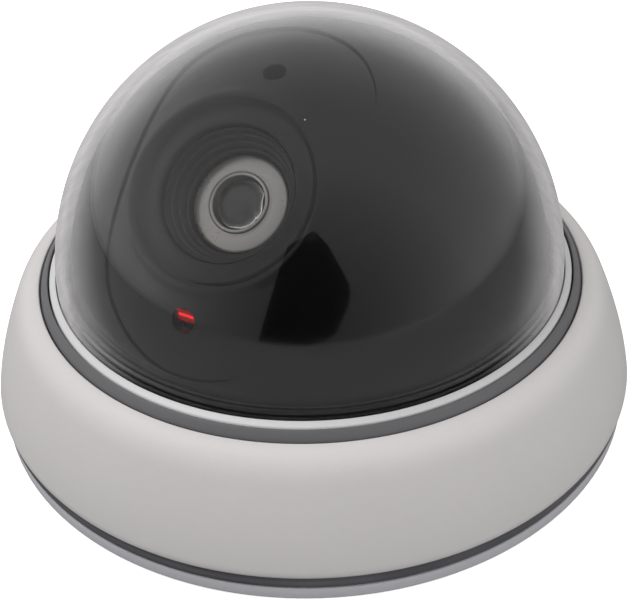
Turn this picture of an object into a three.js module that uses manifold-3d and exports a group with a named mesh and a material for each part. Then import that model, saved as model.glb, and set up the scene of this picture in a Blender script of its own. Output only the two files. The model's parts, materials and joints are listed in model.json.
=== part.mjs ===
// Ceiling dome camera: a round base, a lift-off cover with a clear dome, and a lens that pans and tilts.
// Millimetres, +Z up. The origin is the centre of the flat underside of the base, and -Y is the front.
import * as THREE from 'three';
import { mergeVertices } from 'three/addons/utils/BufferGeometryUtils.js';
import Module from 'manifold-3d';

const wasm = await Module();
wasm.setup();
const { degToRad } = THREE.MathUtils;

// Driving dimensions.
const clearance = 0.3;      // between pieces that touch
const ringSides = 40;
const smallSides = 10;

const base = {
  footRadius: 59.7, rimRadius: 60.9, rimTop: 3.6, chamfer: 1.3, floor: 3.0,
  spigotOuter: 58.1, spigotInner: 56.6, spigotTop: 9.5,
  guideOuter: 49.0, guideInner: 47.4, guideTop: 6.4,
  railOuter: 41.0, railInner: 39.0, railTop: 3.4,
};
const snapTab = { count: 3, halfAngle: 6, slit: 1.2, slitBottom: 4.2 };
const wallSlot = { count: 3, radius: 52.4, width: 4.0, length: 8.0, firstAngle: 90 };
const gasket = { inner: 58.4, outer: 61.0, bulge: 61.2, bottom: 3.9, top: 6.0 };

const housingOutline = [    // outer face from the lower edge over the shoulder, then the inner face back down
  [61.2, 6.3], [61.6, 7.0], [60.8, 10.3], [59.8, 13.8], [58.7, 17.3], [57.4, 20.8], [56.4, 23.6],
  [55.4, 25.7], [53.9, 27.2], [51.4, 27.9], [51.4, 25.7], [49.6, 25.7], [49.6, 24.3], [53.9, 24.3],
  [55.3, 20.8], [57.7, 13.8], [58.7, 10.3], [59.2, 6.3],
];
const trimRingOutline = [[49.6, 26.0], [51.1, 26.0], [51.1, 27.9], [50.8, 28.5], [49.9, 29.5], [49.6, 29.4]];
const collarOutline = [[48.2, 24.3], [49.3, 24.3], [49.3, 29.0], [48.9, 29.3], [48.2, 29.3]];

const dome = {
  centreZ: 29.0, outer: 47.9, inner: 46.2, flangeRadius: 52.2, flangeBottom: 22.0, flangeTop: 24.0,
};
const liner = { outer: 45.0, inner: 44.4, bottom: 6.2 };
const slot = { halfWidth: 18.6, lowerEnd: 29.3, upperEnd: 71.3 };   // elevations of its round ends' centres

const lens = { azimuth: 29.7, elevation: 47.9 };
const tilt = { down: 17, up: 17 };
const band = { outer: 43.95, inner: 42.4, halfWidth: 21.0, cheek: 1.6, cheekRadius: 37.6, overlap: 1.0 };
const boss = {
  radius: 17.1, top: 41.75, dish: 39.0, shelf: 37.9, socket: 12.0, socketWall: 1.4, socketBack: 31.0,
};
const funnel = {
  radius: 11.7, back: 30.1, top: 38.8, floor: 32.1, steps: 4, firstStep: 11.3, stepIn: 0.6, stepDown: 1.0,
};
const reflector = { outer: 8.6, inner: 5.1, bottom: 32.4, rim: 34.6, lip: 33.4 };
const bead = { radius: 4.8, bottom: 32.4, shoulder: 33.4, top: 36.5 };
const axle = { radius: 4.5, end: 36.1, screwHole: 1.5, screwDepth: 7 };
const led = {    // lies along the tilt axis behind its hole
  holeAngle: 29.6, hole: 2.2, angle: 31.2, depth: 40.1, radius: 0.9, flange: 1.2, back: -4.1, length: 4.1,
  legSpread: 0.5, legHalf: 0.2, legBend: 1.8,
};
const spareHole = { angle: 29.5, radius: 2.0 };

const board = {
  halfWidth: 15, low: -23, high: 20, back: 25.4, front: 27.0,
  postX: 11.5, postY: 16.5, post: 2.2, postTop: 37.1,
};

const turntable = {
  inner: 36.5, outer: 47.0, bottom: 3.7, top: 5.9, spigotInner: 42.7, spigotOuter: 43.7, spigotTop: 9.0,
};
const arm = {
  inner: 36.8, outer: 39.6, halfWidth: 6, footHalf: 9.6, footTop: 8.4, bottom: 6.2,
  screwY: 7.9, screwHole: 0.95, pivotHole: 1.6,
};
const clip = {
  count: 3, firstAngle: 30, inner: 45.5, outer: 53.6, halfWidth: 4, bottom: 6.7, top: 8.1,
  screwRadius: 50.9, screwHole: 1.5, boss: 2.8,
};

const tray = {
  halfLength: 27.2, halfWidth: 12.6, wall: 1.2, bottom: 3.3, roofBottom: 14.3, top: 15.5,
  ear: 32.0, earHalfWidth: 3, earHeight: 1.4, screwX: 29.6, leadX: -22, leadY: 4, leadHole: 1.0,
};
const tappedHole = 1.4;
const cellOpening = { halfLength: 25.4, halfWidth: 11.3 };
const doorRecess = { halfLength: 27.5, front: -13.0, back: 14.7, depth: 2.4 };
const cell = {
  radius: 5.25, length: 44.5, nub: 1.9, nubLength: 1.0, axisY: 5.6, axisZ: 8.8, negativeEnd: 19.5,
};
const contact = { face: 25.7, thickness: 0.4, halfHeight: 4.2 };
const spring = { radius: 2.6, wire: 0.4, turns: 4, length: 4.2, start: 24.5 };
const door = {
  halfLength: 27.2, front: -12.7, back: 11.9, bottom: 0.3, top: 1.9,
  hingeY: 13.2, hingeZ: 1.2, barrel: 1.1, barrelHalf: 20, notchHalf: 5, notchDepth: 1.2,
};
const hingePin = { radius: 0.45, halfLength: 28.9, bore: 0.7, socketHalf: 29.2 };
const toggle = {
  y: -28.0, travel: 3.0, slotHalf: 3.4, slotDepth: 1.3, halfX: 1.3, halfY: 1.0, bottom: 0.6, top: 3.0,
};
const switchBody = { halfLength: 5.5, halfWidth: 2.2, bottom: 3.3, top: 6.6 };
const wire = { radius: 0.55, spread: 0.9 };

const finishes = {
  housingGrey: { color: 0xd2ced0, roughness: 0.55, metalness: 0 },
  baseGrey: { color: 0x919096, roughness: 0.5, metalness: 0 },
  darkGrey: { color: 0x5f5f62, roughness: 0.6, metalness: 0 },
  collarWhite: { color: 0xdcd8d6, roughness: 0.5, metalness: 0 },
  clear: { color: 0xf2f4f6, roughness: 0.05, metalness: 0, transparent: true, opacity: 0.25 },
  gloss: { color: 0x17171a, roughness: 0.22, metalness: 0 },
  black: { color: 0x101013, roughness: 0.45, metalness: 0 },
  satin: { color: 0x8f8a87, roughness: 0.3, metalness: 1 },
  bead: { color: 0x5c5855, roughness: 0.03, metalness: 0, transparent: true, opacity: 0.6 },
  red: { color: 0xc81e1e, roughness: 0.15, metalness: 0 },
  steel: { color: 0xa9a9ac, roughness: 0.35, metalness: 1 },
  greenBoard: { color: 0x1f5a34, roughness: 0.5, metalness: 0 },
  brown: { color: 0xb59a74, roughness: 0.5, metalness: 0 },
  cellGrey: { color: 0x56585c, roughness: 0.3, metalness: 0.2 },
  redWire: { color: 0xa01c1c, roughness: 0.5, metalness: 0 },
  blackWire: { color: 0x161616, roughness: 0.5, metalness: 0 },
};

// Geometry helpers.

// Merges shared vertices, drops slivers of no area and turns the faces outwards.
function welded(geometry) {
  const bare = new THREE.BufferGeometry();
  bare.setAttribute('position', geometry.getAttribute('position'));
  bare.setIndex(geometry.index);
  const merged = mergeVertices(bare, 1e-4);
  const corners = ['a', 'b', 'c'].map(() => new THREE.Vector3());
  const triangles = [];
  let volume = 0;
  for (let i = 0; i < merged.index.count; i += 3) {
    const [a, b, c] = [0, 1, 2].map((k) => merged.index.getX(i + k));
    if (a === b || b === c || c === a) continue;
    [a, b, c].forEach((v, k) => corners[k].fromBufferAttribute(merged.attributes.position, v));
    volume += corners[0].dot(corners[1].clone().cross(corners[2]));
    triangles.push([a, b, c]);
  }
  if (volume < 0) triangles.forEach((triangle) => triangle.reverse());
  merged.setIndex(triangles.flat());
  return merged;
}

function toSolid(geometry) {
  const vertProperties = new Float32Array(geometry.attributes.position.array);
  const triVerts = new Uint32Array(geometry.index.array);
  return new wasm.Manifold(new wasm.Mesh({ numProp: 3, vertProperties, triVerts }));
}

function toGeometry(solid) {
  const mesh = solid.getMesh();
  const geometry = new THREE.BufferGeometry();
  geometry.setAttribute('position', new THREE.BufferAttribute(new Float32Array(mesh.vertProperties), 3));
  geometry.setIndex(new THREE.BufferAttribute(new Uint32Array(mesh.triVerts), 1));
  return geometry;
}

const combined = (method) => (first, ...others) =>
  toGeometry(others.reduce((solid, other) => solid[method](toSolid(other)), toSolid(first)));
const joined = combined('add');
const cut = combined('subtract');
const shared = combined('intersect');

// A solid of revolution about Z; the outline holds [radius, z] corners and is closed back to its first one.
function turned(outline, sides = ringSides) {
  const points = [...outline, outline[0]].map(([r, z]) => new THREE.Vector2(r, z));
  return welded(new THREE.LatheGeometry(points, sides).rotateX(Math.PI / 2));
}

const rod = (radius, low, high, sides = smallSides) =>
  turned([[0, low], [radius, low], [radius, high], [0, high]], sides);

function block([x0, x1], [y0, y1], [z0, z1]) {
  const box = new THREE.BoxGeometry(x1 - x0, y1 - y0, z1 - z0);
  return welded(box.translate((x0 + x1) / 2, (y0 + y1) / 2, (z0 + z1) / 2));
}

// A flat outline in the XY plane, given depth from low to high along Z.
function plate(shape, low, high, curveSegments = 6) {
  const extruded = new THREE.ExtrudeGeometry(shape, { depth: high - low, bevelEnabled: false, curveSegments });
  return welded(extruded.translate(0, 0, low));
}

// Lays a Z-axis solid along X, so that its +Z end points to +X or, with side -1, to -X.
const alongX = (geometry, side = 1) => geometry.rotateY(side * Math.PI / 2);

// Leans a Z-axis solid about X: its +Z end points away from the lens axis, upwards if the angle is positive.
const leaned = (geometry, degrees) => geometry.rotateX(-degToRad(degrees));

function arcPoints(radius, fromDegrees, toDegrees, steps, centreZ = 0) {
  return Array.from({ length: steps + 1 }, (_, i) => {
    const angle = degToRad(fromDegrees + (toDegrees - fromDegrees) * i / steps);
    const acrossAxis = Math.abs(angle - Math.PI / 2) < 1e-9 ? 0 : radius * Math.cos(angle);
    return [acrossAxis, centreZ + radius * Math.sin(angle)];
  });
}

function polygon(points) {
  return new THREE.Shape(points.map(([x, y]) => new THREE.Vector2(x, y)));
}

const onCircle = (radius, angle) => [radius * Math.cos(angle), radius * Math.sin(angle), 0];

function around(count, firstAngle, place) {
  return Array.from({ length: count }, (_, i) => place(degToRad(firstAngle + 360 * i / count), i + 1));
}

function tube(points, radius) {
  const path = new THREE.CatmullRomCurve3(points.map((p) => new THREE.Vector3(...p)));
  const section = polygon(around(6, 0, (angle) => onCircle(radius, angle)));
  return welded(new THREE.ExtrudeGeometry(section, { steps: 12, extrudePath: path, bevelEnabled: false }));
}

function add(parent, name, geometry, finish) {
  const material = new THREE.MeshStandardMaterial({ ...finishes[finish], flatShading: true });
  const mesh = new THREE.Mesh(geometry, material);
  mesh.name = name;
  parent.add(mesh);
  return mesh;
}

// A pan-head screw that points down -Z, its head resting at z 0.
function screw(headRadius, shankRadius, length, headHeight = 1.4) {
  return turned([
    [0, -length], [shankRadius, -length + shankRadius], [shankRadius, 0], [headRadius, 0],
    [headRadius, headHeight * 0.5], [headRadius * 0.7, headHeight], [0, headHeight],
  ], smallSides);
}

// Base body.

function basePlate() {
  const turnedPlate = turned([
    [0, 0], [base.footRadius, 0], [base.rimRadius, base.chamfer], [base.rimRadius, base.rimTop],
    [base.spigotOuter, base.rimTop], [base.spigotOuter, base.spigotTop], [base.spigotInner, base.spigotTop],
    [base.spigotInner, base.floor], [base.guideOuter, base.floor], [base.guideOuter, base.guideTop],
    [base.guideInner, base.guideTop], [base.guideInner, base.floor], [base.railOuter, base.floor],
    [base.railOuter, base.railTop], [base.railInner, base.railTop], [base.railInner, base.floor],
    [0, base.floor],
  ]);
  const clipBosses = around(clip.count, clip.firstAngle, (angle) =>
    rod(clip.boss, base.floor - 1, base.guideTop).translate(...onCircle(clip.screwRadius, angle)));
  const clipHoles = around(clip.count, clip.firstAngle, (angle) =>
    rod(tappedHole, 1.5, 9).translate(...onCircle(clip.screwRadius, angle)));
  const half = wallSlot.length / 2 - wallSlot.width / 2;
  const screwSlots = around(wallSlot.count, wallSlot.firstAngle, (angle) => {
    const shape = new THREE.Shape().absarc(half, 0, wallSlot.width / 2, -Math.PI / 2, Math.PI / 2)
      .absarc(-half, 0, wallSlot.width / 2, Math.PI / 2, Math.PI * 1.5);
    return plate(shape, -1, 4).rotateZ(angle + Math.PI / 2).translate(...onCircle(wallSlot.radius, angle));
  });
  const slits = [-1, 1].flatMap((side) => around(snapTab.count, side * snapTab.halfAngle, (angle) =>
    block([55, 59], [-snapTab.slit / 2, snapTab.slit / 2], [snapTab.slitBottom, 11]).rotateZ(angle)));
  const trayHoles = [-1, 1].map((side) => rod(tappedHole, 1.0, 4).translate(side * tray.screwX, 0, 0));
  const { halfLength, halfWidth } = cellOpening;
  const cellHole = block([-halfLength, halfLength], [-halfWidth, halfWidth], [1, 4]);
  const { halfLength: recessHalf, front, back, depth } = doorRecess;
  const recess = block([-recessHalf, recessHalf], [front, back], [-1, depth]);
  const { bore, socketHalf } = hingePin;
  const pinSockets = alongX(rod(bore, -socketHalf, socketHalf)).translate(0, door.hingeY, door.hingeZ);
  const { y, slotHalf, slotDepth } = toggle;
  const toggleSlot = block([-slotHalf, slotHalf], [y - slotDepth, y + slotDepth], [-1, 4]);
  return cut(
    joined(turnedPlate, ...clipBosses),
    ...clipHoles, ...screwSlots, ...slits, ...trayHoles, cellHole, recess, pinSockets, toggleSlot,
  );
}

function lowerGasket() {
  const middle = (gasket.bottom + gasket.top) / 2;
  return turned([
    [gasket.inner, gasket.bottom], [gasket.outer, gasket.bottom], [gasket.bulge, middle],
    [gasket.outer, gasket.top], [gasket.inner, gasket.top],
  ]);
}

function batteryTray() {
  const { halfLength, halfWidth, wall, bottom, roofBottom, top, ear, earHalfWidth, earHeight } = tray;
  const outside = block([-halfLength, halfLength], [-halfWidth, halfWidth], [bottom, top]);
  const [insideX, insideY] = [halfLength - wall, halfWidth - wall];
  const inside = block([-insideX, insideX], [-insideY, insideY], [0, roofBottom]);
  const ears = block([-ear, ear], [-earHalfWidth, earHalfWidth], [bottom, bottom + earHeight]);
  const earHoles = [-1, 1].map((side) => rod(tappedHole, 2, 6).translate(side * tray.screwX, 0, 0));
  const leadHoles = [-1, 1].map((side) =>
    rod(tray.leadHole, 12, 17).translate(tray.leadX, side * tray.leadY, 0));
  return cut(joined(outside, ears), inside, ...earHoles, ...leadHoles);
}

// The cell's positive nub points to +X before it is placed.
function batteryCell() {
  const { radius, length, nub, nubLength } = cell;
  return alongX(turned([
    [0, 0.4], [radius * 0.6, 0.4], [radius * 0.7, 0], [radius, 0.5], [radius, length - nubLength - 0.6],
    [radius - 0.5, length - nubLength], [nub, length - nubLength], [nub, length], [0, length],
  ], 16)).translate(-cell.negativeEnd, 0, 0);
}

class Helix extends THREE.Curve {
  getPoint(t, target = new THREE.Vector3()) {
    const angle = 2 * Math.PI * spring.turns * t;
    const radius = spring.radius * (1 - 0.35 * t);
    return target.set(radius * Math.cos(angle), radius * Math.sin(angle), spring.length * t);
  }
}

function contactSpring() {
  const section = polygon(around(4, 0, (angle) => onCircle(spring.wire, angle)));
  return alongX(welded(new THREE.ExtrudeGeometry(section, { steps: 36, extrudePath: new Helix() })), -1);
}

function contactPlate(side, fromY, toY) {
  const face = [contact.face - contact.thickness, contact.face].map((x) => side * x).sort((a, b) => a - b);
  return block(face, [fromY, toY], [cell.axisZ - contact.halfHeight, cell.axisZ + contact.halfHeight]);
}

function turntableClip() {
  const bar = block([clip.inner, clip.outer], [-clip.halfWidth, clip.halfWidth], [clip.bottom, clip.top]);
  return cut(bar, rod(clip.screwHole, 5, 10).translate(clip.screwRadius, 0, 0));
}

function batteryDoor() {
  const { halfLength, front, back, bottom, top, hingeY, hingeZ, barrel, barrelHalf } = door;
  const leaf = block([-halfLength, halfLength], [front, back], [bottom, top]);
  const web = block([-barrelHalf, barrelHalf], [back - 0.1, hingeY], [bottom + 0.3, top - 0.1]);
  const knuckle = alongX(rod(barrel, -barrelHalf, barrelHalf)).translate(0, hingeY, hingeZ);
  const bore = alongX(rod(hingePin.bore, -barrelHalf - 1, barrelHalf + 1)).translate(0, hingeY, hingeZ);
  const { notchHalf, notchDepth } = door;
  const notch = block([-notchHalf, notchHalf], [front - 1, front + notchDepth], [bottom - 1, bottom + 0.7]);
  return cut(joined(leaf, web, knuckle), bore, notch);
}

// Cover body.

function clearDome() {
  const { outer, inner, centreZ, flangeRadius, flangeBottom, flangeTop } = dome;
  return turned([
    [inner, flangeBottom], ...arcPoints(inner, 0, 90, 8, centreZ), ...arcPoints(outer, 90, 0, 8, centreZ),
    [outer, flangeTop], [flangeRadius, flangeTop], [flangeRadius, flangeBottom],
  ]);
}

// Pan body, in the pan frame: the lens looks towards -Y, and the tilt axis is the X line at the dome's centre.

// A solid wedge of the YZ plane between two elevations above -Y, as wide as given along X.
function wedge(fromElevation, toElevation, halfWidth, reach = 60) {
  const steps = 4;
  const rim = Array.from({ length: steps + 1 }, (_, i) => {
    const angle = degToRad(fromElevation + (toElevation - fromElevation) * i / steps);
    return [reach * Math.cos(angle), reach * Math.sin(angle)];
  });
  const extruded = plate(polygon([[0, 0], ...rim]), -halfWidth, halfWidth);
  return extruded.rotateX(Math.PI / 2).rotateZ(-Math.PI / 2);
}

function innerLiner() {
  const shell = turned([
    [liner.inner, liner.bottom], ...arcPoints(liner.inner, 0, 90, 9, dome.centreZ),
    ...arcPoints(liner.outer, 90, 0, 9, dome.centreZ), [liner.outer, liner.bottom],
  ]);
  const ends = [slot.lowerEnd, slot.upperEnd].map((elevation) =>
    rod(slot.halfWidth, 15, 60, 28).rotateX(degToRad(90 - elevation)).translate(0, 0, dome.centreZ));
  const middle = wedge(slot.lowerEnd, slot.upperEnd, slot.halfWidth).translate(0, 0, dome.centreZ);
  return cut(shell, ...ends, middle);
}

function turntableRing() {
  const { inner, outer, bottom, top, spigotInner, spigotOuter, spigotTop } = turntable;
  const ring = turned([
    [inner, bottom], [outer, bottom], [outer, top], [spigotOuter, top], [spigotOuter, spigotTop],
    [spigotInner, spigotTop], [spigotInner, top], [inner, top],
  ]);
  const holes = yokeScrewPlaces().map(([x, y]) => rod(arm.screwHole, 4.5, 8).translate(x, y, 0));
  return cut(ring, ...holes);
}

const yokeScrewPlaces = () =>
  [-1, 1].flatMap((side) => [-1, 1].map((end) => [side * (arm.inner + arm.outer) / 2, end * arm.screwY]));

function yokeArm(side) {
  const { inner, outer, halfWidth, footHalf, footTop, bottom, screwY, screwHole } = arm;
  const face = [side * inner, side * outer].sort((a, b) => a - b);
  const upright = block(face, [-halfWidth, halfWidth], [bottom, dome.centreZ]);
  const foot = block(face, [-footHalf, footHalf], [bottom, footTop]);
  const head = alongX(rod(halfWidth, inner, outer, 20), side).translate(0, 0, dome.centreZ);
  const pivot = alongX(rod(arm.pivotHole, 30, 45), side).translate(0, 0, dome.centreZ);
  const screwHoles = [-screwY, screwY].map((y) =>
    rod(screwHole, 5, 12).translate(side * (inner + outer) / 2, y, 0));
  return cut(joined(upright, foot, head), pivot, ...screwHoles);
}

// Lens body, in the lens frame: +Z is the lens axis from the dome's centre, and X is the tilt axis.

// Part of the carrier's band between two angles from the lens axis, upwards positive.
function bandWedge(fromAngle, toAngle, halfWidth) {
  return wedge(90 + fromAngle, 90 + toAngle, halfWidth);
}

function lensCarrier() {
  const half = Math.asin(band.halfWidth / band.outer) * 180 / Math.PI;
  const innerHalf = Math.asin(band.halfWidth / band.inner) * 180 / Math.PI;
  const outerArc = arcPoints(band.outer, -half, half, 5);
  const hoop = alongX(turned([...outerArc, ...arcPoints(band.inner, innerHalf, -innerHalf, 3)], 44));
  const slotBottom = slot.lowerEnd - Math.asin(slot.halfWidth / liner.outer) * 180 / Math.PI;
  const slotTop = slot.upperEnd + Math.asin(slot.halfWidth / liner.outer) * 180 / Math.PI;
  const reachDown = slotBottom - tilt.up - band.overlap - lens.elevation;
  const reachUp = slotTop + tilt.down + band.overlap - lens.elevation;
  const strip = shared(hoop, bandWedge(reachDown, reachUp, band.halfWidth + 1));

  const { radius, top, dish, shelf, socket, socketWall, socketBack } = boss;
  const opening = turned([
    [0, 20], [socket + 0.4, 20], [socket + 0.4, dish + 0.3], [radius - 0.8, top], [radius - 0.8, 46], [0, 46],
  ], 28);
  const rim = turned([
    [socket, socketBack], [socket + socketWall, socketBack], [socket + socketWall, shelf], [radius, shelf + 1],
    [radius, top - 0.6], [radius - 0.4, top - 0.1], [radius - 0.7, top], [socket, dish],
  ], 28);

  const hubs = [-1, 1].map((side) => alongX(rod(axle.radius, band.halfWidth - band.cheek, axle.end), side));
  const cheeks = [-1, 1].map((side) => shared(
    alongX(rod(band.cheekRadius, band.halfWidth - band.cheek, band.halfWidth, 24), side),
    bandWedge(-20, 20, 30),
  ));
  const screwHoles = [-1, 1].map((side) =>
    alongX(rod(axle.screwHole, axle.end - axle.screwDepth, axle.end + 1), side));
  const postPlaces = [-1, 1].map((side) => [side * board.postX, board.postY, 0]);
  const posts = postPlaces.map((place) =>
    rod(board.post, board.front + clearance, board.postTop).translate(...place));
  const postHoles = postPlaces.map((place) => rod(1.1, 20, 33).translate(...place));
  const ledHole = leaned(rod(led.hole, 35, 46, 12), -led.holeAngle);
  const emptyHole = leaned(rod(spareHole.radius, 35, 46, 12), spareHole.angle);
  return cut(
    joined(cut(strip, opening), rim, ...hubs, ...cheeks, ...posts),
    ...screwHoles, ...postHoles, ledHole, emptyHole,
  );
}

function lensFunnel() {
  const { radius, back, top, floor, steps, firstStep, stepIn, stepDown } = funnel;
  const stairs = Array.from({ length: steps }, (_, i) => [
    [firstStep - i * stepIn, top - i * stepDown], [firstStep - i * stepIn, top - (i + 1) * stepDown],
  ]).flat();
  const last = firstStep - steps * stepIn;
  const bottomStep = [[last, top - steps * stepDown], [last, floor], [0, floor]];
  return turned([[0, back], [radius, back], [radius, top], ...stairs, ...bottomStep], 24);
}

function reflectorRing() {
  const { outer, inner, bottom, rim, lip } = reflector;
  return turned([[inner, bottom], [outer, bottom], [outer, rim], [inner, lip]], 24);
}

function lensBead() {
  const rise = bead.top - bead.shoulder;
  const cap = Array.from({ length: 5 }, (_, i) => {
    const angle = degToRad(90 * i / 4);
    return [i === 4 ? 0 : bead.radius * Math.cos(angle), bead.shoulder + rise * Math.sin(angle)];
  });
  return turned([[0, bead.bottom], [bead.radius, bead.bottom], ...cap], 16);
}

// A round-nosed lamp that points to +X, with two legs bent down to the board.
function indicatorLed(drop) {
  const { radius, flange, length, legSpread, legHalf, legBend } = led;
  const nose = arcPoints(radius, 0, 90, 3, length - radius);
  const body = alongX(turned([[0, 0], [flange, 0], [flange, 0.7], [radius, 0.7], ...nose], smallSides));
  const legs = [-legSpread, legSpread].flatMap((y) => [
    block([-legBend, 0.2], [y - legHalf, y + legHalf], [-legHalf, legHalf]),
    block([-legBend, 2 * legHalf - legBend], [y - legHalf, y + legHalf], [-drop, legHalf]),
  ]);
  return joined(body, ...legs);
}

function flasherBoard() {
  const slab = block([-board.halfWidth, board.halfWidth], [board.low, board.high], [board.back, board.front]);
  const holes = [-1, 1].map((side) => rod(1.4, 20, 30).translate(side * board.postX, board.postY, 0));
  return cut(slab, ...holes);
}

// Assembly.

const camera = new THREE.Group();
const panFrame = new THREE.Group();
panFrame.rotation.z = -degToRad(lens.azimuth);
const lensFrame = new THREE.Group();
lensFrame.position.z = dome.centreZ;
lensFrame.rotation.x = degToRad(90 - lens.elevation);
panFrame.add(lensFrame);
camera.add(panFrame);

add(camera, 'base_plate', basePlate(), 'baseGrey');
add(camera, 'lower_gasket', lowerGasket(), 'darkGrey');
around(clip.count, clip.firstAngle, (angle, number) => {
  add(camera, `turntable_clip_${number}`, turntableClip(), 'black').rotation.z = angle;
  const clipScrew = add(camera, `clip_screw_${number}`, screw(2.6, 1.1, 6.0), 'steel');
  clipScrew.position.set(...onCircle(clip.screwRadius, angle).slice(0, 2), clip.top + clearance);
});

add(camera, 'battery_tray', batteryTray(), 'black');
[1, -1].forEach((side, i) => {
  const traySide = i + 1;
  const trayScrew = add(camera, `tray_screw_${traySide}`, screw(2.1, 1.1, 3.4, 1.1), 'steel');
  trayScrew.position.set(side * tray.screwX, 0, tray.bottom + 1.4 + clearance);
  const battery = add(camera, `battery_${traySide}`, batteryCell(), 'cellGrey');
  battery.position.set(0, side * cell.axisY, cell.axisZ);
  battery.rotation.z = side > 0 ? 0 : Math.PI;
  const coil = add(camera, `contact_spring_${traySide}`, contactSpring(), 'steel');
  coil.position.set(-side * (spring.start - spring.length), side * cell.axisY, cell.axisZ);
  coil.rotation.z = side > 0 ? 0 : Math.PI;
});
add(camera, 'bridge_contact', contactPlate(1, -10.0, 10.0), 'steel');
add(camera, 'negative_contact', contactPlate(-1, 1.6, 10.0), 'steel');
add(camera, 'positive_contact', contactPlate(-1, -10.0, -1.6), 'steel');
const leads = [['red', -1, 'redWire'], ['black', 1, 'blackWire']];
leads.forEach(([colour, side, finish]) => {
  const route = [
    [tray.leadX, side * tray.leadY, 14.6], [tray.leadX, side * tray.leadY, 17.5], [-15, side * 2.6, 20.5],
    [-4, side * 1.2, 22.5], [0, side * wire.spread, 27.6],
  ];
  add(camera, `battery_lead_${colour}`, tube(route, wire.radius), finish);
});

add(camera, 'battery_door', batteryDoor(), 'baseGrey');
const hinge = alongX(rod(hingePin.radius, -hingePin.halfLength, hingePin.halfLength));
add(camera, 'door_hinge_pin', hinge, 'steel').position.set(0, door.hingeY, door.hingeZ);
const { halfLength: bodyHalf, halfWidth: bodyDeep, bottom: bodyBottom, top: bodyTop } = switchBody;
const bodyBlock = block([-bodyHalf, bodyHalf], [-bodyDeep, bodyDeep], [bodyBottom, bodyTop]);
add(camera, 'switch_body', bodyBlock, 'black').position.y = toggle.y;
const { halfX, halfY, bottom: knobBottom, top: knobTop } = toggle;
const knob = block([-halfX, halfX], [-halfY, halfY], [knobBottom, knobTop]);
add(camera, 'switch_knob', knob, 'collarWhite').position.set(-toggle.travel / 2, toggle.y, 0);

add(camera, 'housing', turned(housingOutline), 'housingGrey');
add(camera, 'upper_trim_ring', turned(trimRingOutline), 'darkGrey');
add(camera, 'dome_collar', turned(collarOutline), 'collarWhite');
add(camera, 'clear_dome', clearDome(), 'clear');

add(panFrame, 'turntable', turntableRing(), 'black');
add(panFrame, 'inner_liner', innerLiner(), 'gloss');
add(panFrame, 'yoke_arm_left', yokeArm(-1), 'black');
add(panFrame, 'yoke_arm_right', yokeArm(1), 'black');
yokeScrewPlaces().forEach(([x, y], i) => {
  const yokeScrew = add(panFrame, `yoke_screw_${i + 1}`, screw(1.3, 0.6, 3.6, 0.9), 'steel');
  yokeScrew.position.set(x, y, arm.footTop + clearance);
});
[['left', -1], ['right', 1]].forEach(([word, side]) => {
  const tiltScrew = add(panFrame, `tilt_screw_${word}`, alongX(screw(2.8, 1.2, 8.5, 1.5), side), 'steel');
  tiltScrew.position.set(side * (arm.outer + clearance), 0, dome.centreZ);
});

add(lensFrame, 'lens_carrier', lensCarrier(), 'gloss');
add(lensFrame, 'lens_funnel', lensFunnel(), 'black');
add(lensFrame, 'reflector_ring', reflectorRing(), 'satin');
add(lensFrame, 'lens_bead', lensBead(), 'bead');
const lampHeight = led.depth * Math.cos(degToRad(led.angle));
const lamp = add(lensFrame, 'indicator_led', indicatorLed(lampHeight - board.front - clearance), 'red');
lamp.position.set(led.back, -led.depth * Math.sin(degToRad(led.angle)), lampHeight);
add(lensFrame, 'flasher_board', flasherBoard(), 'greenBoard');
[-1, 1].forEach((side, i) => {
  const boardScrew = screw(2.3, 0.8, 6.5, 1.2).rotateX(Math.PI).translate(0, 0, board.back - clearance);
  add(lensFrame, `board_screw_${i + 1}`, boardScrew, 'steel').position.set(side * board.postX, board.postY, 0);
});
const rear = board.back - clearance;
add(lensFrame, 'flasher_chip', block([-4, 4], [3, 8], [rear - 1.6, rear]), 'black');
add(lensFrame, 'timing_capacitor', rod(2.5, rear - 5.5, rear).translate(8, -8, 0), 'darkGrey');
add(lensFrame, 'resistor', alongX(rod(1.0, -3.2, 3.2)).translate(-6, -8, rear - 1.1), 'brown');
leads.forEach(([colour, side, finish]) => {
  const bend = side * 2.2;
  const route = [[side * wire.spread, 0, 1.4], [side * 1.6, -2, 9], [bend, -3, 17], [bend, -3, rear]];
  add(lensFrame, `board_lead_${colour}`, tube(route, wire.radius), finish);
});

export default camera;
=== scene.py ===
import json
import math
import bmesh
import bpy
from mathutils import Matrix, Vector
from mathutils.geometry import interpolate_bezier


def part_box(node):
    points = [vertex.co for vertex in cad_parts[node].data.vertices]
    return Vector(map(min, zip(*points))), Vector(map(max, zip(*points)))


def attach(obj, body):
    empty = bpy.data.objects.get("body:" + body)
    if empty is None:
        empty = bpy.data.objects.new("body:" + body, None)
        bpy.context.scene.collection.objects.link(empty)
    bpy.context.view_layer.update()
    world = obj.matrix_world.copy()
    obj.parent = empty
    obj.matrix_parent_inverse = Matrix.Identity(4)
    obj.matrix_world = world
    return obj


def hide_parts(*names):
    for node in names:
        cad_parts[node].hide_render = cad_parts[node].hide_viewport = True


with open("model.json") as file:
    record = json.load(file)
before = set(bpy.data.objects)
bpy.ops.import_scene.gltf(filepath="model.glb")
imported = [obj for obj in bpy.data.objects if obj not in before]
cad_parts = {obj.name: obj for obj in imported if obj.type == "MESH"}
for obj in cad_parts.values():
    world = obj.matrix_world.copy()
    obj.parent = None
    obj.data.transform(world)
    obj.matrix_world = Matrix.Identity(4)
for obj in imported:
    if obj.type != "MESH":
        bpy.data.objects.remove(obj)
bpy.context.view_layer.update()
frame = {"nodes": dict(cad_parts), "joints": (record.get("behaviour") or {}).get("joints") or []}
mm = 0.001
fullTurn = math.tau
origin = Vector((0, 0, 0))
print("frame loaded:", len(frame["nodes"]), "nodes")


# where things are, read from the frame

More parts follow.
